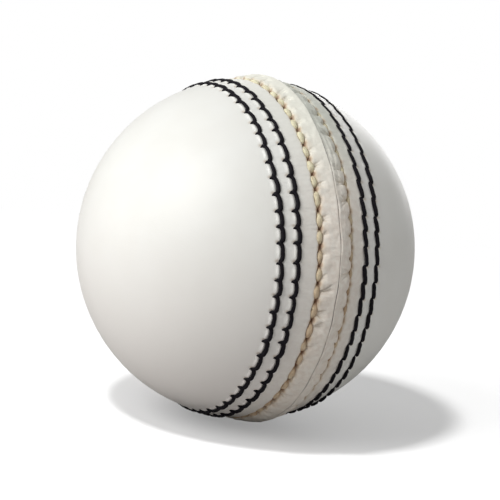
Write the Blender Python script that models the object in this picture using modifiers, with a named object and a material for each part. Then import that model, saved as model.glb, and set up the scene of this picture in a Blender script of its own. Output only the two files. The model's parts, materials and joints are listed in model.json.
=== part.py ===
"""Cricket ball: a four-piece leather cover, closed by a raised hand-sewn seam, over a wound cork core.

Frame: metres, +Z up, origin at the ball's centre. The seam lies in the plane X = 0 and stands
upright, and the X axis runs through the middles of the two smooth cheeks.
"""

import math

import bmesh
import bpy
from mathutils import Matrix, Vector

MM = 0.001

# Driving dimensions of the cover.
CHEEK_RADIUS = 35.6 * MM
LEATHER_THICKNESS = 3.8 * MM
RIDGE_HEIGHT = 1.0 * MM
RIDGE_HALF_WIDTH = 2.9 * MM
RIDGE_SHOULDER = 1.7 * MM
RIDGE_FOOT_RISE = 0.35 * RIDGE_HEIGHT
JOIN_GAP = 0.30 * MM

# Stitch rows, as arc distances from the seam plane along the leather. One facet of the cover spans
# one closing stitch, so that each stitch hole falls in the middle of a facet.
BLACK_STITCHES = 62
CLOSING_STITCHES = 60
COVER_STEPS = CLOSING_STITCHES
CHEEK_STEPS = 6
INSIDE_STEPS = 6
CLOSING_ROW_ARC = 3.5 * MM
INNER_ROW_ARC = 7.8 * MM
OUTER_ROW_ARC = 11.15 * MM

# Sewing threads and the channels they lie in.
ROW_THREAD_RADIUS = 0.50 * MM
ROW_THREAD_CREST = 0.15 * MM
ROW_THREAD_DIP = 0.85 * MM
ROW_CHANNEL_WIDTH = 1.40 * MM
ROW_CHANNEL_DEPTH = 1.60 * MM
CLOSING_THREAD_RADIUS = 0.40 * MM
CLOSING_CHANNEL_WIDTH = 1.20 * MM
CLOSING_CHANNEL_DEPTH = 2.30 * MM
CLOSING_UPPER_DEPTH = 0.75 * MM
CLOSING_LOWER_DEPTH = 1.75 * MM
TUNNEL_WIDTH = 1.15 * MM
TUNNEL_MARGIN = 0.10 * MM

# Hidden seam between the two quarters of each half cover.
QUARTER_THREAD_RADIUS = 0.28 * MM
QUARTER_THREAD_CLEARANCE = 0.12 * MM
QUARTER_CHANNEL_WIDTH = 1.10 * MM
QUARTER_CHANNEL_DEPTH = 1.00 * MM
QUARTER_CUTTER_STEPS = 48
CUTTER_OVERRUN = 1.00 * MM
QUARTER_STITCHES = 24
QUARTER_SEAM_END_LATITUDE = math.radians(14)
LINING_WIDTH = 11.0 * MM
LINING_THICKNESS = 0.50 * MM
LINING_OUTER_RADIUS = 31.15 * MM
LINING_END_LATITUDE = math.radians(8)
LINING_STEPS = 20

# Layers of the core, from the middle out: the outer radius of each.
LAYER_GAP = 0.30 * MM
NUCLEUS_RADIUS = 12.5 * MM
INNER_WINDING_RADIUS = 16.6 * MM
INNER_CORK_RADIUS = 19.6 * MM
MIDDLE_WINDING_RADIUS = 23.4 * MM
OUTER_CORK_RADIUS = 26.4 * MM
OUTER_WINDING_RADIUS = 30.2 * MM
CORE_STEPS = 20
CORE_LATITUDE_STEP = math.radians(15)
YARN_RIDGE = 0.60 * MM
YARN_POLE_HOLE = 2.2 * MM

SEAM_AXIS_TURN = (0.0, math.pi / 2, 0.0)
MERGE = 0.00001
SHARP_ANGLE = math.radians(40)


def clear_scene():
    for obj in list(bpy.data.objects):
        bpy.data.objects.remove(obj)


def make_collection(name):
    collection = bpy.data.collections.new(name)
    bpy.context.scene.collection.children.link(collection)
    return collection


def make_material(name, colour, roughness, metallic=0.0):
    material = bpy.data.materials.new(name)
    material.use_nodes = True
    shader = material.node_tree.nodes["Principled BSDF"]
    shader.inputs["Base Color"].default_value = (*colour, 1.0)
    shader.inputs["Roughness"].default_value = roughness
    shader.inputs["Metallic"].default_value = metallic
    material.diffuse_color = (*colour, 1.0)
    return material


def add_object(name, data, collection, material=None, rotation=(0.0, 0.0, 0.0)):
    obj = bpy.data.objects.new(name, data)
    obj.rotation_euler = rotation
    collection.objects.link(obj)
    if material is not None:
        data.materials.append(material)
    return obj


def hide_cutter(obj):
    obj.hide_render = True
    obj.display_type = "WIRE"


def on_sphere(latitude, radius):
    """A profile point: (distance from the turning axis, height along it)."""
    return (radius * math.cos(latitude), radius * math.sin(latitude))


def shade_round(mesh):
    mesh.shade_smooth()
    mesh.set_sharp_from_angle(angle=SHARP_ANGLE)


def turned_object(name, profile, steps, collection, material=None, rotation=(0.0, 0.0, 0.0)):
    """A profile of (radius, height) points, turned about Z with a Screw modifier, then set down."""
    outline = bpy.data.meshes.new(f"{name}_profile")
    edges = [(i, i + 1) for i in range(len(profile) - 1)]
    outline.from_pydata([(radius, 0.0, height) for radius, height in profile], edges, [])
    lathe = add_object(f"{name}_lathe", outline, collection)
    screw = lathe.modifiers.new("turn", "SCREW")
    screw.axis = "Z"
    screw.angle = 2 * math.pi
    screw.steps = steps
    screw.render_steps = steps
    screw.use_merge_vertices = True
    screw.merge_threshold = MERGE
    mesh = bpy.data.meshes.new_from_object(lathe.evaluated_get(bpy.context.evaluated_depsgraph_get()))
    bpy.data.objects.remove(lathe)
    mesh.name = name
    shade_round(mesh)
    return add_object(name, mesh, collection, material, rotation)


def add_cut(obj, cutter, name):
    boolean = obj.modifiers.new(name, "BOOLEAN")
    boolean.operation = "DIFFERENCE"
    boolean.object = cutter


def channel(arc, width, depth):
    """Profile points of a square-bottomed channel round the ball, from its cheek side to its seam side."""
    cheek_side = (arc + width / 2) / CHEEK_RADIUS
    seam_side = (arc - width / 2) / CHEEK_RADIUS
    floor = CHEEK_RADIUS - depth
    return [
        on_sphere(cheek_side, CHEEK_RADIUS),
        on_sphere(cheek_side, floor),
        on_sphere(seam_side, floor),
        on_sphere(seam_side, CHEEK_RADIUS),
    ]


def half_cover_profile():
    """From the cheek's middle, out over the stitch channels and the ridge, then back along the inside."""
    crest = CHEEK_RADIUS + RIDGE_HEIGHT
    inside = CHEEK_RADIUS - LEATHER_THICKNESS
    cheek_end = (OUTER_ROW_ARC + ROW_CHANNEL_WIDTH / 2) / CHEEK_RADIUS
    points = [(0.0, CHEEK_RADIUS)]
    for step in range(1, CHEEK_STEPS):
        latitude = math.pi / 2 + (cheek_end - math.pi / 2) * step / CHEEK_STEPS
        points.append(on_sphere(latitude, CHEEK_RADIUS))
    points += channel(OUTER_ROW_ARC, ROW_CHANNEL_WIDTH, ROW_CHANNEL_DEPTH)
    points += channel(INNER_ROW_ARC, ROW_CHANNEL_WIDTH, ROW_CHANNEL_DEPTH)
    points += channel(CLOSING_ROW_ARC, CLOSING_CHANNEL_WIDTH, CLOSING_CHANNEL_DEPTH)[:-1]
    points.append(on_sphere(RIDGE_HALF_WIDTH / CHEEK_RADIUS, CHEEK_RADIUS + RIDGE_FOOT_RISE))
    points.append((crest, RIDGE_SHOULDER))
    points.append((crest, JOIN_GAP / 2))
    points.append((inside, JOIN_GAP / 2))
    for step in range(1, INSIDE_STEPS):
        points.append(on_sphere(math.pi / 2 * step / INSIDE_STEPS, inside))
    points.append((0.0, inside))
    return points


def box_cutter(name, size, centre, collection):
    mesh = bpy.data.meshes.new(name)
    bm = bmesh.new()
    matrix = Matrix.Translation(centre) @ Matrix.Diagonal((*size, 1.0))
    bmesh.ops.create_cube(bm, size=1.0, matrix=matrix)
    bm.to_mesh(mesh)
    bm.free()
    cutter = add_object(name, mesh, collection)
    hide_cutter(cutter)
    return cutter


def tunnel_cutter(collection):
    """One square tunnel across both lips at each stitch hole of the closing seam."""
    fall = math.cos(CLOSING_ROW_ARC / CHEEK_RADIUS)
    clearance = CLOSING_THREAD_RADIUS + TUNNEL_MARGIN
    upper = fall * (CHEEK_RADIUS - CLOSING_UPPER_DEPTH) + clearance
    lower = fall * (CHEEK_RADIUS - CLOSING_LOWER_DEPTH) - clearance
    size = (2 * CLOSING_ROW_ARC, TUNNEL_WIDTH, upper - lower)
    centre = Vector((0.0, 0.0, (upper + lower) / 2))
    mesh = bpy.data.meshes.new("closing_tunnels")
    bm = bmesh.new()
    for stitch in range(CLOSING_STITCHES):
        turn = Matrix.Rotation(2 * math.pi * (stitch + 0.5) / CLOSING_STITCHES, 4, "X")
        matrix = turn @ Matrix.Translation(centre) @ Matrix.Diagonal((*size, 1.0))
        bmesh.ops.create_cube(bm, size=1.0, matrix=matrix)
    bm.to_mesh(mesh)
    bm.free()
    cutter = add_object("closing_tunnels", mesh, collection)
    hide_cutter(cutter)
    return cutter


def quarter_channel_cutter(name, rotation, collection):
    """A ring that sinks a channel into the inside of a half cover, along the join of its quarters."""
    inside = CHEEK_RADIUS - LEATHER_THICKNESS
    floor = inside + QUARTER_CHANNEL_DEPTH
    start = inside - CUTTER_OVERRUN
    half = QUARTER_CHANNEL_WIDTH / 2
    profile = [(start, half), (floor, half), (floor, -half), (start, -half), (start, half)]
    cutter = turned_object(name, profile, QUARTER_CUTTER_STEPS, collection, rotation=rotation)
    hide_cutter(cutter)
    return cutter


def make_half_cover(names, side, join_normal, tunnels, collection, cutters, leather):
    """Two quarters of one half cover. side is +1 or -1 along X, and join_normal is across their join."""
    rotation = (0.0, side * math.pi / 2, 0.0)
    ring_turn = (math.pi / 2, 0.0, 0.0) if join_normal.y else (0.0, 0.0, 0.0)
    ring = quarter_channel_cutter(f"quarter_channel_{names[0]}", ring_turn, cutters)
    reach = 3 * CHEEK_RADIUS
    for name, sign in zip(names, (1, -1)):
        away = -sign * join_normal
        size = Vector((reach, reach, reach))
        centre = away * (reach / 2 - JOIN_GAP / 2)
        far_half = box_cutter(f"far_half_{name}", size, centre, cutters)
        quarter = turned_object(
            name, half_cover_profile(), COVER_STEPS, collection, leather, rotation
        )
        add_cut(quarter, far_half, "quarter_join")
        add_cut(quarter, tunnels, "stitch_holes")
        add_cut(quarter, ring, "hidden_seam_channel")


def thread_object(name, points, radius, closed, collection, material):
    curve = bpy.data.curves.new(name, "CURVE")
    curve.dimensions = "3D"
    curve.bevel_depth = radius
    curve.bevel_resolution = 0
    curve.use_fill_caps = not closed
    spline = curve.splines.new("POLY")
    spline.points.add(len(points) - 1)
    for slot, point in zip(spline.points, points):
        slot.co = (*point, 1.0)
    spline.use_cyclic_u = closed
    return add_object(name, curve, collection, material)


def around_seam(arc, radius, turn):
    """A point at an arc distance from the seam plane, at a turn about X counted from +Z."""
    latitude = arc / CHEEK_RADIUS
    reach = radius * math.cos(latitude)
    return Vector((radius * math.sin(latitude), -reach * math.sin(turn), reach * math.cos(turn)))


def row_thread_points(arc):
    """One stitch after another: each lies on the leather, then dips into its channel at a hole."""
    pitch = 2 * math.pi / BLACK_STITCHES
    points = []
    for stitch in range(BLACK_STITCHES):
        points.append(around_seam(arc, CHEEK_RADIUS - ROW_THREAD_DIP, pitch * stitch))
        points.append(around_seam(arc, CHEEK_RADIUS + ROW_THREAD_CREST, pitch * (stitch + 0.5)))
    return points


def closing_thread_points(first_side, depth):
    """A saddle stitch: the thread lies beside the ridge for one stitch, then crosses to the other side."""
    pitch = 2 * math.pi / CLOSING_STITCHES
    level = CHEEK_RADIUS - depth
    surface = CHEEK_RADIUS - CLOSING_THREAD_RADIUS / 2
    points = []
    for stitch in range(CLOSING_STITCHES):
        side = first_side if stitch % 2 == 0 else -first_side
        arc = side * CLOSING_ROW_ARC
        hole = pitch * (stitch + 0.5)
        points.append(around_seam(arc, level, hole))
        points.append(around_seam(arc, surface, hole + pitch / 2))
        points.append(around_seam(arc, level, hole + pitch))
    return points


def quarter_thread_points(side, join_normal):
    """A zigzag that runs over the cheek inside the leather, along the join of the two quarters."""
    inside = CHEEK_RADIUS - LEATHER_THICKNESS
    middle = inside + QUARTER_CHANNEL_DEPTH / 2
    wave = QUARTER_CHANNEL_DEPTH / 2 - QUARTER_THREAD_RADIUS - QUARTER_THREAD_CLEARANCE
    along = Vector((0.0, 0.0, 1.0)) if join_normal.y else Vector((0.0, 1.0, 0.0))
    start = QUARTER_SEAM_END_LATITUDE
    span = math.pi - 2 * start
    points = []
    for step in range(2 * QUARTER_STITCHES + 1):
        latitude = start + span * step / (2 * QUARTER_STITCHES)
        radius = middle + (wave if step % 2 else -wave)
        points.append(
            Vector((side * radius * math.sin(latitude), 0.0, 0.0))
            + along * (radius * math.cos(latitude))
        )
    return points


def make_lining(name, side, join_normal, collection, material):
    """A leather strip glued inside a half cover over the join of its quarters."""
    inner = LINING_OUTER_RADIUS - LINING_THICKNESS
    across = join_normal * LINING_WIDTH / 2
    along = Vector((0.0, 0.0, 1.0)) if join_normal.y else Vector((0.0, 1.0, 0.0))
    bm = bmesh.new()
    rows = []
    for step in range(LINING_STEPS + 1):
        latitude = LINING_END_LATITUDE + (math.pi - 2 * LINING_END_LATITUDE) * step / LINING_STEPS
        direction = Vector((side * math.sin(latitude), 0.0, 0.0)) + along * math.cos(latitude)
        rows.append([bm.verts.new(direction * inner + across * edge) for edge in (-1, 1)])
    for (a, b), (c, d) in zip(rows, rows[1:]):
        bm.faces.new((a, b, d, c))
    bmesh.ops.recalc_face_normals(bm, faces=bm.faces)
    mesh = bpy.data.meshes.new(name)
    bm.to_mesh(mesh)
    bm.free()
    strip = add_object(name, mesh, collection, material)
    wall = strip.modifiers.new("thickness", "SOLIDIFY")
    wall.thickness = LINING_THICKNESS
    wall.offset = 0.0
    return strip


def make_nucleus(collection, material):
    mesh = bpy.data.meshes.new("cork_nucleus")
    bm = bmesh.new()
    bmesh.ops.create_icosphere(bm, subdivisions=3, radius=NUCLEUS_RADIUS)
    bm.to_mesh(mesh)
    bm.free()
    mesh.shade_smooth()
    return add_object("cork_nucleus", mesh, collection, material)


def clear_of(radius):
    """A radius for a faceted hollow, so that its flats stay a gap away from a ball of this radius."""
    flat_loss = math.cos(math.pi / CORE_STEPS) * math.cos(CORE_LATITUDE_STEP / 2)
    return (radius + LAYER_GAP) / flat_loss


def make_winding(name, inside, outer, ridges, rotation, collection, material):
    """A layer of yarn wound in parallel turns. Its poles stay open, where the yarn's ends go in."""
    inner = clear_of(inside)
    end = math.acos(YARN_POLE_HOLE / outer)
    inner_end = math.acos(YARN_POLE_HOLE / inner)
    inner_steps = math.ceil(2 * inner_end / CORE_LATITUDE_STEP)
    profile = []
    for step in range(2 * ridges + 1):
        latitude = end - end * step / ridges
        profile.append(on_sphere(latitude, outer if step % 2 else outer - YARN_RIDGE))
    for step in range(inner_steps + 1):
        latitude = -inner_end + 2 * inner_end * step / inner_steps
        profile.append(on_sphere(latitude, inner))
    profile.append(profile[0])
    return turned_object(name, profile, CORE_STEPS, collection, material, rotation)


def make_cork_cup(name, inside, outer, rotation, collection, material):
    """One of the two cork cups that wrap a winding."""
    inner = clear_of(inside)
    steps = round(math.pi / 2 / CORE_LATITUDE_STEP)
    latitudes = [CORE_LATITUDE_STEP * step for step in range(1, steps)]
    profile = [(0.0, outer)]
    profile += [on_sphere(latitude, outer) for latitude in reversed(latitudes)]
    profile.append((outer, LAYER_GAP / 2))
    profile.append((inner, LAYER_GAP / 2))
    profile += [on_sphere(latitude, inner) for latitude in latitudes]
    profile.append((0.0, inner))
    return turned_object(name, profile, CORE_STEPS, collection, material, rotation)


def make_core(collection):
    cork = make_material("cork_composition", (0.45, 0.27, 0.14), 0.9)
    sheet_cork = make_material("sheet_cork", (0.62, 0.43, 0.25), 0.9)
    yarn = make_material("worsted_yarn", (0.80, 0.76, 0.66), 1.0)
    upright = (0.0, 0.0, 0.0)
    lying = (math.pi / 2, 0.0, 0.0)
    make_nucleus(collection, cork)
    for layer, inside, outer, ridges, turn in (
        ("inner", NUCLEUS_RADIUS, INNER_WINDING_RADIUS, 4, upright),
        ("middle", INNER_CORK_RADIUS, MIDDLE_WINDING_RADIUS, 5, lying),
        ("outer", OUTER_CORK_RADIUS, OUTER_WINDING_RADIUS, 7, SEAM_AXIS_TURN),
    ):
        make_winding(f"yarn_winding_{layer}", inside, outer, ridges, turn, collection, yarn)
    for layer, inside, outer, turn in (
        ("inner", INNER_WINDING_RADIUS, INNER_CORK_RADIUS, lying),
        ("outer", MIDDLE_WINDING_RADIUS, OUTER_CORK_RADIUS, upright),
    ):
        flipped = (turn[0] + math.pi, 0.0, 0.0)
        make_cork_cup(f"cork_wrap_{layer}_a", inside, outer, turn, collection, sheet_cork)
        make_cork_cup(f"cork_wrap_{layer}_b", inside, outer, flipped, collection, sheet_cork)


def make_cover(collection, cutters):
    leather = make_material("white_leather", (0.86, 0.85, 0.82), 0.42)
    lining = make_material("lining_leather", (0.74, 0.66, 0.54), 0.8)
    hidden = make_material("quarter_thread", (0.82, 0.78, 0.68), 0.8)
    tunnels = tunnel_cutter(cutters)
    across_y = Vector((0.0, 1.0, 0.0))
    across_z = Vector((0.0, 0.0, 1.0))
    halves = (
        ("left", -1, across_y, ("leather_left_back", "leather_left_front")),
        ("right", 1, across_z, ("leather_right_top", "leather_right_bottom")),
    )
    for label, side, normal, names in halves:
        make_half_cover(names, side, normal, tunnels, collection, cutters, leather)
        make_lining(f"lining_strip_{label}", side, normal, collection, lining)
        points = quarter_thread_points(side, normal)
        thread_object(
            f"quarter_thread_{label}", points, QUARTER_THREAD_RADIUS, False, collection, hidden
        )


def make_stitching(collection):
    black = make_material("black_thread", (0.015, 0.014, 0.018), 0.55)
    linen = make_material("linen_thread", (0.72, 0.60, 0.42), 0.7)
    for label, side in (("left", -1), ("right", 1)):
        for row, arc in (("outer", OUTER_ROW_ARC), ("inner", INNER_ROW_ARC)):
            points = row_thread_points(side * arc)
            name = f"row_thread_{label}_{row}"
            thread_object(name, points, ROW_THREAD_RADIUS, True, collection, black)
    for label, first_side, depth in (
        ("upper", -1, CLOSING_UPPER_DEPTH),
        ("lower", 1, CLOSING_LOWER_DEPTH),
    ):
        points = closing_thread_points(first_side, depth)
        name = f"closing_thread_{label}"
        thread_object(name, points, CLOSING_THREAD_RADIUS, True, collection, linen)


def main():
    clear_scene()
    ball = make_collection("cricket_ball")
    cutters = make_collection("cutters")
    make_core(ball)
    make_cover(ball, cutters)
    make_stitching(ball)


main()
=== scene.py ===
"""Looks of the cricket ball: lacquered white leather, black stitch rows and a raised hand-sewn seam.

Lengths are in metres, apart from the stitch tables. On the ball a place is given by its turn about
the seam axis X, counted from the top down the front, and by its arc: the distance along the leather
from the plane X = 0.
"""

import json
import math

import bpy
import numpy as np
from mathutils import Matrix, Vector


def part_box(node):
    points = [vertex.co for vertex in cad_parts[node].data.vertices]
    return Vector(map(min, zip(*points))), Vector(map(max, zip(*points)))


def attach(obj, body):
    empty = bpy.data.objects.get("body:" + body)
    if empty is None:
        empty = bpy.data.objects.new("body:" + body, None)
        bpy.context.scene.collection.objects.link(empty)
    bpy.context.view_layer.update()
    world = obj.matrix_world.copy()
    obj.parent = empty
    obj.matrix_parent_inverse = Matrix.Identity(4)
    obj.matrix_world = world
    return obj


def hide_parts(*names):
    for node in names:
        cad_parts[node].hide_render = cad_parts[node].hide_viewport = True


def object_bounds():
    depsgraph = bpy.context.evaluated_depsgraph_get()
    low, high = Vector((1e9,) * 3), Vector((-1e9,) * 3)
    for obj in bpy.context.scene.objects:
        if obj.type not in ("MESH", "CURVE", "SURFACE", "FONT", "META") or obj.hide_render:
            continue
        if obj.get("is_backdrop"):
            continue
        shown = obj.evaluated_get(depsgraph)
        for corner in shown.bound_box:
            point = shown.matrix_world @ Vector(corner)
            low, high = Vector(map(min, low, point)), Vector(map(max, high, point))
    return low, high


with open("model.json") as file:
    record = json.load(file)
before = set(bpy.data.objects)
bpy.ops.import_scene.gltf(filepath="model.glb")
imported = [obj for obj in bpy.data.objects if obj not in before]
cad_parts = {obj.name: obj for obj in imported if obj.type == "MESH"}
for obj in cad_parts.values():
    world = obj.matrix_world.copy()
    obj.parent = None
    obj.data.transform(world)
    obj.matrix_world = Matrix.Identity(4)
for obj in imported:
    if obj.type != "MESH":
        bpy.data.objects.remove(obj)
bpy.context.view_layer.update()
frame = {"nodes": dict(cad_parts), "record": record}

MM = 0.001
SEED = 11
SHARP_ANGLE = math.radians(75)

# The frame's own sizes. The inside of a quarter steps back at its ends, for the hidden sewing there.
BALL_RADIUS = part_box("leather_right_top")[1].x
LEATHER_THICKNESS = 3.8 * MM
QUARTER_NOTCH = 1.3 * MM
STITCHES = 62
CLOSING_STITCHES = 60
PITCH = 2 * math.pi * BALL_RADIUS / STITCHES
CLOSING_PITCH = 2 * math.pi * BALL_RADIUS / CLOSING_STITCHES
POLE_ARC = math.pi / 2 * BALL_RADIUS

# Places across the seam, as arcs. The half cover on the -X side is the left one.
LEFT = -1
RIGHT = 1
INNER_ROW = {LEFT: 7.6 * MM, RIGHT: 7.85 * MM}
OUTER_ROW = {LEFT: 11.0 * MM, RIGHT: 11.3 * MM}
BLACK_ROWS = {LEFT: (INNER_ROW[LEFT], OUTER_ROW[LEFT]), RIGHT: (INNER_ROW[RIGHT], OUTER_ROW[RIGHT])}
ROW_WANDER = 0.06 * MM
FOOT = {LEFT: 2.95 * MM, RIGHT: 4.3 * MM}
JOIN_OFFSET = 0.85 * MM
JOIN_WANDER = 0.16 * MM
JOIN_WAVES = ((0.6, 5, 0.8), (0.4, 13, 2.1), (0.3, 29, 0.0))

# Each sewing's stitches round the ball, the share of a stitch done at the top, and its drift's seed.
SEWINGS = {
    LEFT: (STITCHES, 0.745, 1),
    RIGHT: (STITCHES, 0.485, 3),
    "closing": (CLOSING_STITCHES, 0.93, 5),
}
DRIFT_WAVES = ((0.10, 3), (0.06, 11), (0.05, 19))

# The ridge, with widths after depths or heights and a length along the seam between them. Near the top
# of the ball, down to TOP_REACH radians from it, the right lip stays lower.
RIDGE_HEIGHT = 1.05 * MM
RIDGE_STEP = (0.20, 0.5 * MM)
LEFT_CLIMB = 1.15
RIGHT_CLIMB = 1.5
LOW_LIP = 0.35
TOP_REACH = 1.05
TOP_FADE = 0.6
JOIN_GROOVE = (0.22 * MM, 0.07 * MM)
FLANK_START = 0.6 * MM
FLANK_PUFF = (0.15 * MM, 1.0 * MM, 1.3 * MM)

# Leather grain as (depth, size along the seam, size across it, seed, octaves).
WRINKLES = (0.035 * MM, 0.8 * MM, 1.0 * MM, 60, 3)
LUMPS = (0.08 * MM, 1.8 * MM, 1.8 * MM, 70, 2)
FOLDS = {
    LEFT: (0.03 * MM, 5.0 * MM, 0.8 * MM, 80, 2),
    RIGHT: (0.10 * MM, 5.0 * MM, 0.8 * MM, 80, 2),
}
STRIP_GRAIN = (0.045 * MM, 0.8 * MM, 3.0 * MM, 90, 2)
CHEEK_WAVES = (0.05 * MM, 14 * MM, 5)
CHEEK_START = (12 * MM, 4 * MM)

# Creases that fan out from the closing stitches, as a sharp and a broad kind. How far they reach, with
# the spare in it, and how deep they are is in millimetres.
CREASE_SEED = 40
CREASE_FANS = (-0.42, 0.0, 0.38)
CREASE_LEAN = 0.30
CREASE_SHIFT = 0.16
CREASE_REACH = (2.7, 1.4)
CREASE_WIDTH = (0.13 * MM, 0.60 * MM)
CREASE_DEPTH = (0.36, 0.40)
CREASE_STRENGTH = (0.15, 1.0)

# The slot that the closing stitches lie in: half its width at the ends, and the swell between them.
# The lip beside it is (depth, width), a hole (depth, length, width) and the tail from it (depth, width).
SLOT = {LEFT: (0.18 * MM, 0.42 * MM), RIGHT: (0.10 * MM, 0.22 * MM)}
SLOT_DEPTH = 0.62 * MM
SLOT_WALL = 0.26 * MM
SLOT_MARGIN = 0.12 * MM
SLOT_SHIFT = 0.05 * MM
SLOT_LIP = (0.10 * MM, 0.30 * MM)
HOLE = (0.45 * MM, 0.36 * MM, 0.30 * MM)
TAIL = (0.05 * MM, 0.16 * MM)

# The leather round a black stitch. Beds are (depth, width), with the barb's length between them, and
# pillows are (height, place across).
STITCH_BED = (0.20 * MM, 0.40 * MM)
BARB_BED = (0.16 * MM, 0.30 * MM, 0.45 * MM)
BARB_REACH = 0.70 * MM
OUTER_PILLOW = (0.20 * MM, 0.62 * MM)
INNER_PILLOW = (0.08 * MM, 0.66 * MM)
PILLOW_WIDTH = 0.34 * MM
ROW_REACH = 2.5 * MM

# Stains, some with painted shade, and wear, as shares, and the width of the painted shade line along the
# join.
FOOT_STAIN_AND_SHADE = {LEFT: 1.0, RIGHT: 0.6}
HOLE_STAIN = 1.25
SLOT_STAIN = 0.42
CREASE_STAIN_AND_SHADE = 0.35
FLANK_STAIN_AND_SHADE = 0.26
BARB_STAIN = 0.34
STRIP_WEAR = {LEFT: 0.45, RIGHT: 0.8}
LINE_WIDTH = 0.09 * MM

# The cover's mesh. Rows are arcs in millimetres up to the outer stitches, then widen to the pole.
COLUMNS_PER_STITCH = 24
LIP_ROWS = (0.0, 0.04, 0.09)
FINE_ROWS = ((0.15, 1.9, 0.15), (1.9, 5.4, 0.11), (5.4, 13.6, 0.155))
INSIDE_ROWS = 15
FIRST_COARSE_ROW = 0.17 * MM
COARSE_GROWTH = 1.18
WIDEST_ROW = 2.4 * MM
POLE_MARGIN = 0.8 * MM
LIP_CLEARANCE = 0.01 * MM
LIP_BLEND = 3 * MM

# One black stitch of each half, as (place along the pitch, place across, height, radius), in
# millimetres apart from the first. On the left it starts in a barb and ends by the next barb. On the
# right it runs corner to corner and turns back.
BLACK_STITCH = {
    LEFT: (
        (0.110, -1.16, -0.24, 0.09),
        (0.075, -0.96, -0.06, 0.19),
        (0.040, -0.68, 0.05, 0.32),
        (0.040, -0.34, 0.12, 0.43),
        (0.120, -0.06, 0.17, 0.42),
        (0.300, 0.13, 0.20, 0.42),
        (0.500, 0.20, 0.22, 0.43),
        (0.720, 0.20, 0.21, 0.45),
        (0.880, 0.10, 0.17, 0.47),
        (0.955, -0.10, 0.09, 0.43),
        (1.005, -0.28, -0.22, 0.33),
        (1.060, -0.40, -0.85, 0.22),
        (1.090, -0.90, -0.90, 0.15),
    ),
    RIGHT: (
        (0.045, -0.72, -0.28, 0.12),
        (0.030, -0.56, -0.02, 0.23),
        (0.045, -0.36, 0.11, 0.36),
        (0.130, -0.24, 0.17, 0.43),
        (0.300, -0.13, 0.20, 0.45),
        (0.500, 0.00, 0.20, 0.45),
        (0.700, 0.13, 0.20, 0.45),
        (0.870, 0.24, 0.17, 0.43),
        (0.955, 0.36, 0.10, 0.35),
        (0.985, 0.54, -0.06, 0.23),
        (1.002, 0.22, -0.12, 0.26),
        (1.020, -0.28, -0.12, 0.26),
    ),
}

# Where the middle of a black stitch lies across its row, as places along the pitch and millimetres.
STITCH_SWING = {
    LEFT: ((0.0, 0.1, 0.25, 0.5, 0.75, 0.9, 1.0), (-0.05, -0.15, 0.08, 0.20, 0.20, 0.16, -0.05)),
    RIGHT: ((0.0, 0.1, 0.25, 0.5, 0.75, 0.9, 1.0), (0.00, -0.26, -0.15, 0.00, 0.16, 0.27, 0.00)),
}

# One closing stitch, as (place along the pitch, place towards the ridge, height, radius), in
# millimetres apart from the first: a plump strand in its slot between two holes. Between stitches the
# thread crosses under the ridge.
CLOSING_STITCH = (
    (0.05, 0.10, -1.10, 0.20),
    (0.12, 0.00, -0.70, 0.33),
    (0.25, -0.05, -0.35, 0.52),
    (0.42, -0.06, -0.19, 0.63),
    (0.58, -0.06, -0.19, 0.63),
    (0.75, -0.05, -0.35, 0.52),
    (0.88, 0.00, -0.70, 0.33),
    (0.95, 0.10, -1.10, 0.20),
)
CLOSING_SINK = {LEFT: 0.0, RIGHT: 0.22}
CLOSING_SHARE = {LEFT: 1.0, RIGHT: 0.66}
CROSSING_ARC = 2.0 * MM
CROSSING_RADIUS = 0.3
CLOSING_THREADS = (("upper", LEFT, -1.5), ("lower", RIGHT, -2.2))
CLOSING_SEED = 20

# How much stitches differ from each other, for each column of their tables, and the height in
# millimetres above which a point of a stitch shows and so takes part.
BLACK_SPREAD = (0.025, 0.06, 0.02, 0.025)
CLOSING_SPREAD = (0.03, 0.10, 0.07, 0.05)
BLACK_SHOWS = -0.3
CLOSING_SHOWS = -0.9

# The share by which the black rows get thinner near the top, and how many millimetres they sink for it.
TOP_THINNING = {LEFT: 0.08, RIGHT: 0.36}
TOP_SINKING = 0.5

# Threads as (height over width, plies, length of a twist, depth between plies).
BLACK_THREAD = (0.8, 3, 1.6 * MM, 0.14)
LINEN_THREAD = (0.75, 2, 2.4 * MM, 0.24)
THREAD_SIDES = 14
BLACK_SAMPLES = 3
CLOSING_SAMPLES = 4
STRAND_STRETCH = 5

# Colours, most of them as a darker and a lighter shade.
WHITE_LEATHER = ((0.85, 0.845, 0.80), (0.87, 0.87, 0.83))
WORN_LEATHER = ((0.80, 0.72, 0.63), (0.87, 0.815, 0.73))
# Painted warm bounce light for the lower part of the left cheek.
WARM_BOUNCE_TINT = (0.86, 0.825, 0.785)
TOP_CREAM = (0.86, 0.865, 0.765)
# Painted shade for the right half's lip and strip near the top, which face away from the key light.
TOP_SHADE_COLOUR = (0.61, 0.63, 0.56)
# Tan for stains, and for painted shade in the ridge's creases and at its foot.
TAN_STAIN_AND_SHADE = (0.64, 0.51, 0.36)
BROWN_STAIN = (0.24, 0.11, 0.055)
# Painted shade: the dark line in the groove where the two halves meet.
JOIN_SHADE = (0.16, 0.14, 0.15)
BLACK_FIBRE = ((0.003, 0.0022, 0.004), (0.010, 0.008, 0.012))
LINEN_HIGH = (0.84, 0.80, 0.57)
LINEN_LOW = (0.61, 0.45, 0.30)
LINEN_SPECKLE = (0.36, 0.22, 0.12)
LINEN_STREAK = (0.40, 0.25, 0.14)
# Painted shade for the closing thread where it enters a hole and on its underside.
LINEN_PAINTED_SHADE = (0.27, 0.13, 0.065)
CORK_JOINT = (0.10, 0.06, 0.03)

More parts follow.
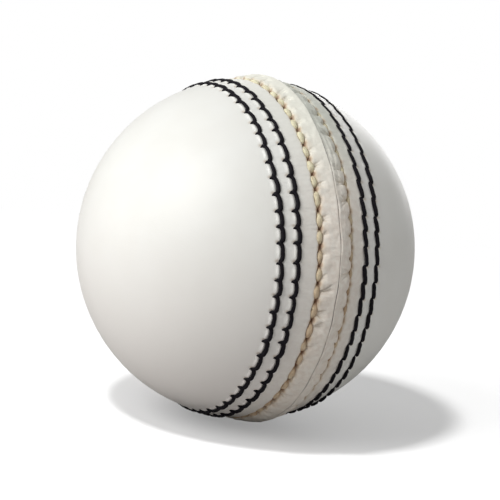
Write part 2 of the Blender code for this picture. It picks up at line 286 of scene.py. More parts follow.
# Finishes of the pieces inside: cork as (grain, dark, light), fibre as (dark, light, roughness,
# patch size, sheen).
CORK = {
    "cork_composition": (1.6 * MM, (0.23, 0.11, 0.05), (0.55, 0.36, 0.2)),
    "sheet_cork": (0.9 * MM, (0.42, 0.26, 0.13), (0.72, 0.52, 0.32)),
}
FIBRE = {
    "worsted_yarn": ((0.62, 0.56, 0.45), (0.84, 0.80, 0.70), 1.0, 0.6 * MM, 0.4),
    "lining_leather": ((0.60, 0.50, 0.38), (0.78, 0.70, 0.58), 0.8, 1.2 * MM, 0.1),
    "quarter_thread": ((0.66, 0.58, 0.42), (0.82, 0.77, 0.64), 0.7, 0.5 * MM, 0.2),
}

# Camera: the view's angles, its distance and the ball's place in the picture.
VIEW_AZIMUTH = math.radians(-29.6)
VIEW_ELEVATION = math.radians(10)
VIEW_ROLL = math.radians(6.1)
VIEW_DISTANCE = 12 * BALL_RADIUS
LENS_MM = 145.9
SENSOR_MM = 36.0
VIEW_PAN = (math.radians(-0.13), math.radians(-0.057))
CLIP_START = 0.01

# Studio light. Directions run right, up and towards the camera; softboxes stand a metre off.
AMBIENT = 0.386
SOFTBOXES = (
    ("side", (-0.98, 0.17, 0.0), 0.6, 2.4),
    ("key", (-0.58, 0.57, 0.58), 0.6, 7.4),
    ("rim", (0.95, 0.31, 0.0), 0.6, 0.5),
    ("back", (0.25, 0.40, -0.88), 0.6, 3.0),
)
OVERHEAD_DIRECTION = (-0.22, 0.92, 0.58)
OVERHEAD_SIZE = 0.11
OVERHEAD_POWER = 11.0
FLOOR_REACH = 6.0
FLOOR_SHADE = 0.5
FLOOR_BOUNCE = (0.232, 0.226, 0.222)
FLOOR_GLOW = 0.28
FLOOR_FADE = (3.2 * BALL_RADIUS, 7 * BALL_RADIUS)


# ---------------------------------------------------------------- numbers and noise

def smooth(x):
    """A smooth step from 0 at x = 0 to 1 at x = 1."""
    x = np.clip(x, 0.0, 1.0)
    return x * x * (3 - 2 * x)


def bell(x, width):
    """A bell curve that is 1 at x = 0 and 1/e at the given width."""
    return np.exp(-((x / width) ** 2))


def noise(points, size, seed):
    """Perlin noise in about -1 to 1, for points in metres, with features of the given size."""
    rng = np.random.default_rng(SEED + seed)
    table = rng.permutation(256)
    gradients = rng.normal(size=(256, 3))
    gradients /= np.linalg.norm(gradients, axis=1)[:, None]
    places = points / size
    cell = np.floor(places).astype(int)
    inside = places - cell
    fade = inside**3 * (inside * (inside * 6 - 15) + 10)
    total = np.zeros(len(points))
    for corner in np.ndindex(2, 2, 2):
        key = cell + corner
        key = table[(table[(table[key[:, 0] % 256] + key[:, 1]) % 256] + key[:, 2]) % 256]
        away = inside - corner
        weight = np.prod(np.where(corner, fade, 1 - fade), axis=1)
        total += weight * np.einsum("ij,ij->i", gradients[key], away)
    return 1.6 * total


def fractal(points, size, seed, octaves):
    """Octaves of noise, each at half the size and half the strength of the one before."""
    return sum(noise(points, size / 2**i, seed + i) / 2**i for i in range(octaves))


def strip_noise(turn, arc, along, across, seed, octaves=1):
    """Noise on the seam band, with one size along the seam and another across it."""
    stretch = along / across
    points = np.stack([arc * stretch, BALL_RADIUS * np.sin(turn), BALL_RADIUS * np.cos(turn)], axis=-1)
    return fractal(points.reshape(-1, 3), along, seed, octaves).reshape(turn.shape)


# ---------------------------------------------------------------- the leather's surface

def ball_points(turn, arc, height):
    """Points on the ball at a turn and a signed arc, at a height over the smooth cheek."""
    latitude = arc / BALL_RADIUS
    radius = BALL_RADIUS + height
    reach = radius * np.cos(latitude)
    return np.stack([radius * np.sin(latitude), -reach * np.sin(turn), reach * np.cos(turn)], axis=-1)


def join_arc(turn):
    """The wandering line along the ridge where the two half covers meet."""
    wander = sum(amount * np.sin(waves * turn + phase) for amount, waves, phase in JOIN_WAVES)
    return JOIN_OFFSET + JOIN_WANDER * wander


def sewing_drift(turn, sewing):
    """How far stitches run ahead of even spacing, in stitches: a slow wander round the ball."""
    phases = np.random.default_rng(SEED + SEWINGS[sewing][2]).uniform(0, 2 * math.pi, len(DRIFT_WAVES))
    return sum(
        amount * np.sin(waves * turn + phase)
        for (amount, waves), phase in zip(DRIFT_WAVES, phases)
    )


def stitch_count(turn, direction, sewing):
    """Stitches sewn from the top of the ball to a turn, in the sewing's direction."""
    total, start, _ = SEWINGS[sewing]
    return direction * turn * total / (2 * math.pi) + start + sewing_drift(turn, sewing)


def stitch_turn(count, direction, sewing):
    """The turn at which a sewing has made a number of stitches: nearly the inverse of stitch_count."""
    total, start, _ = SEWINGS[sewing]
    even = (count - start) * 2 * math.pi / total
    drift = sewing_drift(direction * even, sewing) * 2 * math.pi / total
    return direction * (even - drift)


def near_top(turn):
    """1 at the top of the ball, falling to 0 a good way down."""
    from_top = np.abs((turn + math.pi) % (2 * math.pi) - math.pi)
    return smooth((TOP_REACH - from_top) / TOP_FADE)


def row_arc(row, turn):
    """The arc of a row, with a slight wander that is its own."""
    start = row / MM
    wander = np.sin(4 * turn + start) + 0.7 * np.sin(9 * turn + 2.3 * start)
    return row + ROW_WANDER * wander


def row_relief(side, phase, across):
    """The leather round a row of slanted black stitches. across grows towards the ridge."""
    hole = np.minimum(phase, 1 - phase) * PITCH
    swing = np.interp(phase, *STITCH_SWING[side]) * MM
    puff = np.sin(math.pi * phase) ** 2
    depth, width = STITCH_BED
    bed = -depth * bell(across - swing, width)
    depth, length, width = BARB_BED
    barb_bed = -depth * bell(hole, length) * bell(across + BARB_REACH, width)
    height, place = OUTER_PILLOW
    outer_pillow = height * puff * bell(across + place - 0.5 * swing, PILLOW_WIDTH)
    height, place = INNER_PILLOW
    inner_pillow = height * (1 - puff) * bell(across - place, PILLOW_WIDTH)
    return bed + barb_bed + outer_pillow + inner_pillow


def ridge_profile(side, turn, foot_gap, from_join):
    """Height of the smooth ridge: the left flank ramps up to the join, and the right one rolls over.

    Near the top of the ball the right half's lip is pulled in lower than the left one.
    """
    share = np.clip(foot_gap / (foot_gap + from_join), 0, 1)
    climb = share**LEFT_CLIMB if side == LEFT else 1 - (1 - share) ** RIGHT_CLIMB
    step, width = RIDGE_STEP
    height = RIDGE_HEIGHT * (step * smooth(foot_gap / width) + (1 - step) * climb)
    if side == LEFT:
        return height
    return height * (1 - LOW_LIP * near_top(turn))


def ridge_creases(side, phase, stitch, foot_gap, from_join):
    """Sharp and broad creases that fan out over the flank from each closing stitch, from 0 to 1."""
    rng = np.random.default_rng(SEED + CREASE_SEED + side)
    places, slants, reaches = rng.uniform(-1, 1, (3, CLOSING_STITCHES))
    strengths = rng.uniform(*CREASE_STRENGTH, (len(CREASE_FANS), CLOSING_STITCHES))
    along = (phase - 0.5 - CREASE_SHIFT * places[stitch]) * CLOSING_PITCH
    usual, spare = CREASE_REACH
    reach = (usual + spare * reaches[stitch]) * MM
    spread = smooth(foot_gap / (0.3 * MM)) * smooth((reach - foot_gap) / (1.2 * MM))
    spread *= smooth((from_join - 0.15 * MM) / (0.6 * MM))
    narrow, wide = CREASE_WIDTH
    sharp = 0.0
    for fan, strength in zip(CREASE_FANS, strengths):
        line = along - (CREASE_LEAN * slants[stitch] + fan) * foot_gap
        sharp = np.maximum(sharp, strength[stitch] * bell(line, narrow))
    broad = bell(along - CREASE_LEAN * slants[stitch] * foot_gap, wide)
    return sharp * spread, broad * spread


def ridge_grain(side, turn, arc, from_join):
    """Fine wrinkles, lumps and long folds of the ridge's leather, fading out at the join."""
    grain = sum(
        depth * strip_noise(turn, side * arc, along, across, seed, octaves)
        for depth, along, across, seed, octaves in (WRINKLES, LUMPS, FOLDS[side])
    )
    return grain * smooth(from_join / (0.4 * MM))


def ridge_relief(side, turn, arc, from_join):
    """Height of the ridge's lip, flank and closing stitches' slot, and their stain, with painted shade in
    creases and at the foot.
    """
    foot_gap = FOOT[side] - arc
    beyond = -foot_gap
    count = stitch_count(turn, 1, "closing")
    phase = count % 1
    stitch = np.floor(count).astype(int) % CLOSING_STITCHES
    from_hole = (count - np.round(count)) * CLOSING_PITCH
    sharp, broad = ridge_creases(side, phase, stitch, foot_gap, from_join)
    on_flank = smooth(foot_gap / FLANK_START)
    depth, length, width = FLANK_PUFF
    puff = depth * bell(from_hole, length) * on_flank * bell(foot_gap - 0.9 * MM, width)
    height = ridge_profile(side, turn, foot_gap, from_join) + puff
    height += on_flank * ridge_grain(side, turn, arc, from_join)
    height -= (CREASE_DEPTH[0] * sharp + CREASE_DEPTH[1] * broad) * MM
    depth, width = JOIN_GROOVE
    height -= depth * bell(from_join, width)
    depth, width = TAIL
    tail = depth * bell(from_hole - 0.25 * beyond, width)
    height -= tail * smooth(beyond / (0.3 * MM)) * smooth((2.6 * MM - beyond) / (1.8 * MM))
    narrow, swell = SLOT[side]
    slot = narrow + swell * np.sin(math.pi * phase) ** 0.9
    inside = smooth((slot + SLOT_MARGIN - np.abs(foot_gap + SLOT_SHIFT)) / SLOT_WALL)
    depth, width = SLOT_LIP
    height -= depth * bell(np.abs(foot_gap) - slot, width)
    height = height * (1 - inside) - SLOT_DEPTH * inside
    depth, length, width = HOLE
    height -= depth * bell(from_hole, length) * bell(foot_gap, width)
    patchy = np.clip(0.5 + 0.9 * strip_noise(turn, side * arc, 1.6 * MM, 1.6 * MM, 85), 0.1, 1)
    # Stain round the holes and in the slot. The crease and flank terms are painted shade as well as stain.
    stain_and_shade = HOLE_STAIN * bell(from_hole + 0.4 * foot_gap, 0.56 * MM) * bell(foot_gap + 0.10 * MM, 0.50 * MM)
    stain_and_shade += SLOT_STAIN * inside + CREASE_STAIN_AND_SHADE * sharp * bell(foot_gap - 0.8 * MM, 1.0 * MM)
    stain_and_shade += FLANK_STAIN_AND_SHADE * patchy * bell(foot_gap - 0.3 * MM, 0.9 * MM)
    return height, stain_and_shade * FOOT_STAIN_AND_SHADE[side]


def half_surface(side, turn, arc):
    """For a half's leather: height, stain with painted shade, wear, the join's painted shade line and, on
    the right half, painted shade near the top. arc counts from X = 0, outward.
    """
    from_foot = arc - FOOT[side]
    from_join = arc - side * join_arc(turn)
    height, stain_and_shade = ridge_relief(side, turn, arc, from_join)
    worn = smooth((0.4 * MM - from_foot) / (0.8 * MM))
    worn = worn + STRIP_WEAR[side] * (1 - worn) * smooth((INNER_ROW[side] + 1.5 * MM - arc) / (3 * MM))
    phase = stitch_count(turn, -side, side) % 1
    from_barb = (phase - np.round(phase)) * PITCH
    for row in BLACK_ROWS[side]:
        across = row_arc(row, turn) - arc
        near = np.abs(across) < ROW_REACH
        height = height + np.where(near, row_relief(side, phase, across), 0.0)
        barb = bell(from_barb + 0.2 * MM, 0.34 * MM) * bell(across + 0.90 * MM, 0.42 * MM)
        stain_and_shade = stain_and_shade + BARB_STAIN * barb
    between = smooth(from_foot / (0.8 * MM)) * smooth((OUTER_ROW[side] + 2 * MM - arc) / (2 * MM))
    depth, along, across, seed, octaves = STRIP_GRAIN
    height += depth * between * strip_noise(turn, side * arc, along, across, seed, octaves)
    # Painted shade along the join's groove, in patches.
    patchy = 0.62 + 0.55 * strip_noise(turn, side * arc, 2.5 * MM, 2.5 * MM, 95, 2)
    line = np.clip(patchy, 0.2, 0.9) * bell(from_join, LINE_WIDTH)
    # Painted shade on the right half near the top, from the join out to its inner row, which faces away
    # from the key light.
    painted_top_shade = np.zeros_like(arc)
    if side == RIGHT:
        painted_top_shade = near_top(turn) * smooth((INNER_ROW[side] + 0.5 * MM - arc) / (2 * MM))
    return height, np.clip(stain_and_shade, 0, 1), worn, line, painted_top_shade


# ---------------------------------------------------------------- meshes

def add_mesh(name, points, faces, material):
    """An object with a smooth-shaded mesh, one material and sharp edges where it folds."""
    mesh = bpy.data.meshes.new(name)
    mesh.from_pydata(points, [], faces)
    mesh.update()
    mesh.shade_smooth()
    mesh.set_sharp_from_angle(angle=SHARP_ANGLE)
    mesh.materials.append(material)
    obj = bpy.data.objects.new(name, mesh)
    bpy.context.scene.collection.objects.link(obj)
    return obj


def set_attribute(obj, name, values):
    """A number for each of an object's points, under a name that its material reads."""
    attribute = obj.data.attributes.new(name, "FLOAT", "POINT")
    attribute.data.foreach_set("value", values.astype(np.float32))


def set_vector_attribute(obj, name, vectors):
    """A vector for each of an object's points, under a name that its material reads."""
    attribute = obj.data.attributes.new(name, "FLOAT_VECTOR", "POINT")
    attribute.data.foreach_set("vector", vectors.ravel())


def quads(*corners):
    """Faces of four points, from four grids that hold each face's corners in order."""
    return [tuple(face) for face in np.stack(corners, axis=-1).reshape(-1, 4).tolist()]


def arc_rows():
    """Arcs of the cover's mesh rows: fine over the stitching, wider over the cheek."""
    fine = [np.arange(*steps) for steps in FINE_ROWS]
    rows = np.concatenate([LIP_ROWS, *fine]) * MM
    coarse = []
    width = FIRST_COARSE_ROW
    reach = rows[-1]
    while reach + width < POLE_ARC - POLE_MARGIN:
        reach += width
        coarse.append(reach)
        width = min(width * COARSE_GROWTH, WIDEST_ROW)
    return np.concatenate([rows, coarse])


def follow_join(side, turn, row):
    """Arcs of mesh rows, shifted near the seam so that the first row runs along the join."""
    lip = side * join_arc(turn) + LIP_CLEARANCE
    return row + lip * (1 - smooth(row / LIP_BLEND))


def zipper(fine, coarse):
    """Triangles between a fine run of points and a coarse one that spans the same edge."""
    faces = []
    steps = len(coarse) - 1
    per = (len(fine) - 1) / steps
    for i in range(len(fine) - 1):
        j = min(int((i + 0.5) / per + 0.5), steps)
        faces.append((fine[i], fine[i + 1], coarse[j]))
    for j in range(steps):
        switch = round((j + 0.5) * per)
        faces.append((fine[switch], coarse[j + 1], coarse[j]))
    return faces


def leather_quarter(name, side, start_turn, material):
    """A closed shell: the worked outside on a fine grid, and the plain inside on a coarse one."""
    columns = STITCHES // 2 * COLUMNS_PER_STITCH
    turns = start_turn + math.pi * np.arange(columns + 1) / columns
    rows = arc_rows()

    turn, row = np.meshgrid(turns, rows)
    arc = follow_join(side, turn, row)
    height, stain_and_shade, worn, line, painted_top_shade = half_surface(side, turn, arc)
    depth, size, seed = CHEEK_WAVES
    start, blend = CHEEK_START
    places = ball_points(turn, side * arc, height).reshape(-1, 3)
    height = height + depth * smooth((arc - start) / blend) * noise(places, size, seed).reshape(turn.shape)
    outside = ball_points(turn, side * arc, height).reshape(-1, 3)
    outer = np.arange(len(outside)).reshape(turn.shape)

    inner_rows = rows[np.linspace(0, len(rows) - 1, INSIDE_ROWS).round().astype(int)]
    inner_turn, inner_row = np.meshgrid(turns[::COLUMNS_PER_STITCH], inner_rows)
    inner_arc = follow_join(side, inner_turn, inner_row)
    sunk = -LEATHER_THICKNESS * np.ones_like(inner_arc)
    sunk[:, [0, -1]] += QUARTER_NOTCH
    inside = ball_points(inner_turn, side * inner_arc, sunk).reshape(-1, 3)
    inner = len(outside) + np.arange(len(inside)).reshape(inner_turn.shape)

    outer_pole = BALL_RADIUS + height[-1].mean()
    inner_pole = BALL_RADIUS - LEATHER_THICKNESS + QUARTER_NOTCH
    poles = np.array([(side * outer_pole, 0.0, 0.0), (side * inner_pole, 0.0, 0.0)])
    points = np.concatenate([outside, inside, poles])
    pole_out = len(outside) + len(inside)
    pole_in = pole_out + 1

    faces = quads(outer[:-1, :-1], outer[:-1, 1:], outer[1:, 1:], outer[1:, :-1])
    faces += quads(inner[:-1, :-1], inner[1:, :-1], inner[1:, 1:], inner[:-1, 1:])
    top = outer[-1].tolist()
    faces += [(top[i], top[i + 1], pole_out) for i in range(len(top) - 1)]
    low = inner[-1].tolist()
    faces += [(low[i + 1], low[i], pole_in) for i in range(len(low) - 1)]
    faces += zipper(outer[0].tolist()[::-1], inner[0].tolist()[::-1])
    faces += zipper(outer[:, 0].tolist() + [pole_out], inner[:, 0].tolist() + [pole_in])
    faces += zipper([pole_out] + outer[::-1, -1].tolist(), [pole_in] + inner[::-1, -1].tolist())
    if side == LEFT:
        faces = [face[::-1] for face in faces]

    obj = add_mesh(name, points, faces, material)
    unseen = np.zeros(len(inside) + len(poles))
    for label, values in (("stain_and_shade", stain_and_shade), ("worn", worn), ("line", line), ("painted_top_shade", painted_top_shade)):
        set_attribute(obj, label, np.concatenate([values.ravel(), unseen]))
    seam = np.stack([0.55 * arc, BALL_RADIUS * np.sin(turn), BALL_RADIUS * np.cos(turn)], axis=-1)
    seam = np.concatenate([seam.reshape(-1, 3), np.zeros((len(unseen), 3))])
    set_vector_attribute(obj, "seam", seam)
    return obj


# ---------------------------------------------------------------- threads

def spline(points, samples):
    """A closed Catmull-Rom curve through rows of values, with a number of samples a span."""
    points = np.asarray(points)
    before = np.roll(points, 1, axis=0)
    after = np.roll(points, -1, axis=0)
    beyond = np.roll(points, -2, axis=0)
    parts = []
    for t in np.arange(samples) / samples:
        parts.append(
            0.5
            * (
                2 * points
                + (after - before) * t
                + (2 * before - 5 * points + 4 * after - beyond) * t**2
                + (3 * points - before - 3 * after + beyond) * t**3
            )
        )
    return np.stack(parts, axis=1).reshape(-1, points.shape[1])


def spline_of_stitches(values, total, samples):
    """A closed curve through rows whose first value counts a total of stitches round the ball."""
    even = np.arange(len(values)) / len(values) * total
    values = values.copy()
    values[:, 0] -= even
    curve = spline(values, samples)
    curve[:, 0] += np.arange(len(curve)) / len(curve) * total
    return curve


def sweep(name, path, radii, kind, material):
    """A closed thread: a lobed section carried round a closed path, turning as twisted plies do."""
    flat, plies, twist, ply_depth = kind
    normals = path / np.linalg.norm(path, axis=1)[:, None]
    ahead = np.roll(path, -1, axis=0) - np.roll(path, 1, axis=0)
    ahead /= np.linalg.norm(ahead, axis=1)[:, None]
    across = np.cross(ahead, normals)
    across /= np.linalg.norm(across, axis=1)[:, None]
    up = np.cross(across, ahead)
    step = np.linalg.norm(np.roll(path, -1, axis=0) - path, axis=1)
    length = np.concatenate([[0], np.cumsum(step)[:-1]])
    turns = round(length[-1] / twist)
    spin = 2 * math.pi * turns * length / (length[-1] + step[-1])
    angle = 2 * math.pi * np.arange(THREAD_SIDES) / THREAD_SIDES
    lobes = 1 - ply_depth * (1 - np.abs(np.cos(plies / 2 * (angle[None, :] - spin[:, None] / plies))))
    reach = radii[:, None] * lobes
    points = (
        path[:, None, :]
        + (reach * np.cos(angle))[..., None] * across[:, None, :]
        + (flat * reach * np.sin(angle))[..., None] * up[:, None, :]
    )
    grid = np.arange(len(path) * THREAD_SIDES).reshape(len(path), THREAD_SIDES)
    beside = np.roll(grid, -1, axis=1)
    faces = quads(grid, np.roll(grid, -1, axis=0), np.roll(beside, -1, axis=0), beside)
    thread = add_mesh(name, points.reshape(-1, 3), faces, material)
    lengthwise = np.repeat(length[:, None] / STRAND_STRETCH, THREAD_SIDES, axis=1)
    strand = np.stack([lengthwise, reach * np.cos(angle), reach * np.sin(angle)], axis=-1)
    set_vector_attribute(thread, "strand", strand)
    return thread


def black_row(name, side, row, material):
    """One row of black stitches, sewn round one half cover. It is thinner near the top of the ball."""
    rng = np.random.default_rng(SEED + round(row / MM * 10))
    shape = np.array(BLACK_STITCH[side])
    shown = shape[:, 2:3] > BLACK_SHOWS
    values = []
    for stitch in range(STITCHES):
        piece = shape + shown * rng.normal(0, 1, 4) * BLACK_SPREAD
        piece[:, 0] += stitch
        values.append(piece)
    values = spline_of_stitches(np.concatenate(values), STITCHES, BLACK_SAMPLES)
    turn = stitch_turn(values[:, 0], -side, side)
    arc = row_arc(row, turn) - values[:, 1] * MM
    thinner = TOP_THINNING[side] * near_top(turn)
    height = values[:, 2] - TOP_SINKING * thinner
    path = ball_points(turn, side * arc, height * MM)
    return sweep(name, path, values[:, 3] * (1 - thinner) * MM, BLACK_THREAD, material)


def closing_thread(name, first_side, depth, material):
    """One needle's thread: it shows left and right of the ridge in turn. depth is in millimetres."""
    rng = np.random.default_rng(SEED + CLOSING_SEED + first_side)
    shape = np.array(CLOSING_STITCH)
    shown = shape[:, 2:3] > CLOSING_SHOWS
    values = []
    for stitch in range(CLOSING_STITCHES):
        side = first_side if stitch % 2 == 0 else -first_side
        piece = shape + shown * rng.normal(0, 1, 4) * CLOSING_SPREAD
        piece[:, 0] += stitch
        piece[:, 1] = side * (FOOT[side] - piece[:, 1] * MM)
        piece[:, 2] -= CLOSING_SINK[side]
        piece[:, 3] *= CLOSING_SHARE[side]
        start = (stitch, side * CROSSING_ARC, depth, CROSSING_RADIUS)
        end = (stitch + 1, side * CROSSING_ARC, depth, CROSSING_RADIUS)
        values.append(np.vstack([start, piece, end]))
    values = spline_of_stitches(np.concatenate(values), CLOSING_STITCHES, CLOSING_SAMPLES)
    turn = stitch_turn(values[:, 0], 1, "closing")
    path = ball_points(turn, values[:, 1], values[:, 2] * MM)
    thread = sweep(name, path, values[:, 3] * MM, LINEN_THREAD, material)
    # Painted shade: darker where the thread sinks into a hole, and on its lower side towards the leather.
    ends = smooth((-0.20 - values[:, 2]) / 0.60)[:, None]
    up = np.sin(2 * math.pi * np.arange(THREAD_SIDES) / THREAD_SIDES)
    flanks = 0.5 * smooth((0.45 - up) / 0.8)[None, :]
    set_attribute(thread, "stain_and_shade", (ends + (1 - ends) * flanks).ravel())
    return thread


# ---------------------------------------------------------------- materials

def new_material(name):
    """A material with its nodes, its links and its principled shader."""
    material = bpy.data.materials.new(name)
    material.use_nodes = True
    nodes = material.node_tree.nodes
    return material, nodes, material.node_tree.links, nodes["Principled BSDF"]


def node(nodes, kind, **settings):
    """A new shader node of a kind, with its settings."""
    made = nodes.new(kind)
    for key, value in settings.items():
        setattr(made, key, value)
    return made


def from_mesh(nodes, name, output="Fac"):
    """What the mesh holds under a name."""
    return node(nodes, "ShaderNodeAttribute", attribute_name=name).outputs[output]


def object_axes(nodes, links):
    """The object coordinate, split into its axes."""
    split = node(nodes, "ShaderNodeSeparateXYZ")
    links.new(node(nodes, "ShaderNodeTexCoord").outputs["Object"], split.inputs[0])
    return split.outputs


def feed(links, value, socket):
    """A socket's value, from another socket, a colour or a number."""
    if isinstance(value, bpy.types.NodeSocket):
        links.new(value, socket)
    elif isinstance(value, tuple):
        socket.default_value = (*value, 1.0)
    else:
        socket.default_value = value


def texture(nodes, links, kind, size, detail=3.0, seed=0.0):
    """A noise or Voronoi texture in object space with features of a size in metres."""
    place = node(nodes, "ShaderNodeTexCoord")
    made = node(nodes, kind)
    made.inputs["Scale"].default_value = 1 / size
    if kind == "ShaderNodeTexNoise":
        made.noise_dimensions = "4D"
        made.inputs["W"].default_value = seed
        made.inputs["Detail"].default_value = detail
    links.new(place.outputs["Object"], made.inputs["Vector"])
    return made


def cloud(nodes, links, size, detail, seed=0.0):
    """Noise values in object space."""
    return texture(nodes, links, "ShaderNodeTexNoise", size, detail, seed).outputs["Fac"]


def ramp(nodes, links, source, low, high, start=0.0, end=1.0):
    """Values mapped from one range to another, clamped."""
    made = node(nodes, "ShaderNodeMapRange")
    made.inputs["From Min"].default_value = low
    made.inputs["From Max"].default_value = high
    made.inputs["To Min"].default_value = start
    made.inputs["To Max"].default_value = end
    links.new(source, made.inputs["Value"])
    return made.outputs["Result"]


def blend_colours(nodes, links, share, first, second):
    """A mix of two colours, each a tuple or a socket, by a share that is a number or a socket."""
    made = node(nodes, "ShaderNodeMix", data_type="RGBA")
    feed(links, share, made.inputs[0])
    feed(links, first, made.inputs[6])
    feed(links, second, made.inputs[7])
    return made.outputs[2]


def times(nodes, links, first, second):
    """The product of two values, each a number or a socket."""
    made = node(nodes, "ShaderNodeMath", operation="MULTIPLY")
    feed(links, first, made.inputs[0])
    feed(links, second, made.inputs[1])
    return made.outputs[0]


def bump(nodes, links, height, depth, below=None):
    """A bump of a depth in metres, on top of another bump if one is given."""
    made = node(nodes, "ShaderNodeBump")
    made.inputs["Distance"].default_value = depth
    made.inputs["Strength"].default_value = 1.0
    links.new(height, made.inputs["Height"])
    if below is not None:
        links.new(below, made.inputs["Normal"])
    return made.outputs["Normal"]


def leather_colour(nodes, links, worn):
    """White, worn and creamier along the ridge, with painted warm bounce light low down, stains with
    painted shade, a painted shade line along the join and painted shade near the top.
    """
    axes = object_axes(nodes, links)
    clouds = ramp(nodes, links, cloud(nodes, links, 9 * MM, 2), 0.35, 0.65)
    white = blend_colours(nodes, links, clouds, *WHITE_LEATHER)
    mottle = ramp(nodes, links, cloud(nodes, links, 0.9 * MM, 4, 3.0), 0.38, 0.62)
    raw = blend_colours(nodes, links, mottle, *WORN_LEATHER)
    # Painted warm bounce light, low on the left cheek.
    low = ramp(nodes, links, axes["Z"], 14 * MM, -24 * MM)
    painted_bounce = times(nodes, links, low, ramp(nodes, links, axes["X"], 2 * MM, -8 * MM))
    white = blend_colours(nodes, links, painted_bounce, white, WARM_BOUNCE_TINT)
    high = ramp(nodes, links, axes["Z"], 14 * MM, 30 * MM, 0.0, 0.8)
    raw = blend_colours(nodes, links, high, raw, TOP_CREAM)
    base = blend_colours(nodes, links, times(nodes, links, worn, 0.9), white, raw)
    # Painted shade near the top of the right half.
    painted_top_shade = times(nodes, links, from_mesh(nodes, "painted_top_shade"), 0.8)
    base = blend_colours(nodes, links, painted_top_shade, base, TOP_SHADE_COLOUR)
    # Tan for stain and painted shade in creases and at the ridge's foot, and brown mostly round the holes.
    stain_and_shade = from_mesh(nodes, "stain_and_shade")
    tan = times(nodes, links, ramp(nodes, links, stain_and_shade, 0.0, 0.5), 0.8)
    base = blend_colours(nodes, links, tan, base, TAN_STAIN_AND_SHADE)
    brown = times(nodes, links, ramp(nodes, links, stain_and_shade, 0.45, 1.0), 0.85)
    base = blend_colours(nodes, links, brown, base, BROWN_STAIN)
    # Painted shade along the join.
    line = times(nodes, links, from_mesh(nodes, "line"), 0.9)
    return blend_colours(nodes, links, line, base, JOIN_SHADE)


def leather_material():
    """White leather: lacquered on the cheeks, worn to a pinkish cream and wrinkled along the ridge."""
    material, nodes, links, shader = new_material("white_leather")
    worn = from_mesh(nodes, "worn")
    links.new(leather_colour(nodes, links, worn), shader.inputs["Base Color"])
    links.new(ramp(nodes, links, worn, 0.0, 1.0, 0.42, 0.72), shader.inputs["Roughness"])
    shader.inputs["Specular IOR Level"].default_value = 0.45
    folds = texture(nodes, links, "ShaderNodeTexNoise", 0.8 * MM, 3, 1.0)
    links.new(from_mesh(nodes, "seam", "Vector"), folds.inputs["Vector"])
    folded = times(nodes, links, folds.outputs["Fac"], worn)
    coarse = bump(nodes, links, cloud(nodes, links, 2.4 * MM, 2, 9.0), 0.03 * MM)
    fine = bump(nodes, links, cloud(nodes, links, 0.22 * MM, 3, 7.0), 0.018 * MM, coarse)
    links.new(bump(nodes, links, folded, 0.10 * MM, fine), shader.inputs["Normal"])
    return material


def strand_noise(nodes, links, size, seed):
    """Streaks that run along a thread."""
    streaks = texture(nodes, links, "ShaderNodeTexNoise", size, 3, seed)
    links.new(from_mesh(nodes, "strand", "Vector"), streaks.inputs["Vector"])
    return streaks.outputs["Fac"]


def black_thread_material():
    """Waxed black thread with fibres along its plies."""
    material, nodes, links, shader = new_material("black_thread")
    fibres = strand_noise(nodes, links, 0.10 * MM, 5.0)
    shade = blend_colours(nodes, links, ramp(nodes, links, fibres, 0.3, 0.7), *BLACK_FIBRE)
    links.new(shade, shader.inputs["Base Color"])
    links.new(bump(nodes, links, fibres, 0.06 * MM), shader.inputs["Normal"])
    shader.inputs["Roughness"].default_value = 0.62
    shader.inputs["Specular IOR Level"].default_value = 0.14
    return material


def linen_material():
    """Closing thread: cream, browner low on the ball and in patches, with painted shade where it enters a
    hole and on its underside.
    """
    material, nodes, links, shader = new_material("linen_thread")
    low = ramp(nodes, links, object_axes(nodes, links)["Z"], 25 * MM, -4 * MM)
    patches = cloud(nodes, links, 3.2 * MM, 2, 2.0)
    low = times(nodes, links, low, ramp(nodes, links, patches, 0.30, 0.60, 0.55, 1.0))
    shade = blend_colours(nodes, links, low, LINEN_HIGH, LINEN_LOW)
    spots = cloud(nodes, links, 0.6 * MM, 4, 4.0)
    speckle = ramp(nodes, links, spots, 0.52, 0.72, 0.0, 0.35)
    shade = blend_colours(nodes, links, speckle, shade, LINEN_SPECKLE)
    streaks = strand_noise(nodes, links, 0.34 * MM, 8.0)
    streak = ramp(nodes, links, streaks, 0.50, 0.66, 0.0, 0.45)
    shade = blend_colours(nodes, links, streak, shade, LINEN_STREAK)
    # Painted shade where the thread enters a hole and along its underside.
    stain_and_shade = times(nodes, links, from_mesh(nodes, "stain_and_shade"), 0.85)
    shade = blend_colours(nodes, links, stain_and_shade, shade, LINEN_PAINTED_SHADE)
    links.new(shade, shader.inputs["Base Color"])
    fibres = strand_noise(nodes, links, 0.12 * MM, 5.0)
    links.new(bump(nodes, links, fibres, 0.05 * MM), shader.inputs["Normal"])
    shader.inputs["Roughness"].default_value = 0.75
    return material


def fibre_material(name, dark, light, roughness, size, sheen):
    """Yarn, hidden thread or rough leather: two shades in patches, a fibre bump and a little sheen."""
    material, nodes, links, shader = new_material(name)
    patches = ramp(nodes, links, cloud(nodes, links, size, 4), 0.3, 0.7)
    links.new(blend_colours(nodes, links, patches, dark, light), shader.inputs["Base Color"])
    fibres = cloud(nodes, links, 0.12 * MM, 2, 5.0)
    links.new(bump(nodes, links, fibres, 0.03 * MM), shader.inputs["Normal"])
    shader.inputs["Roughness"].default_value = roughness
    shader.inputs["Sheen Weight"].default_value = sheen
    return material


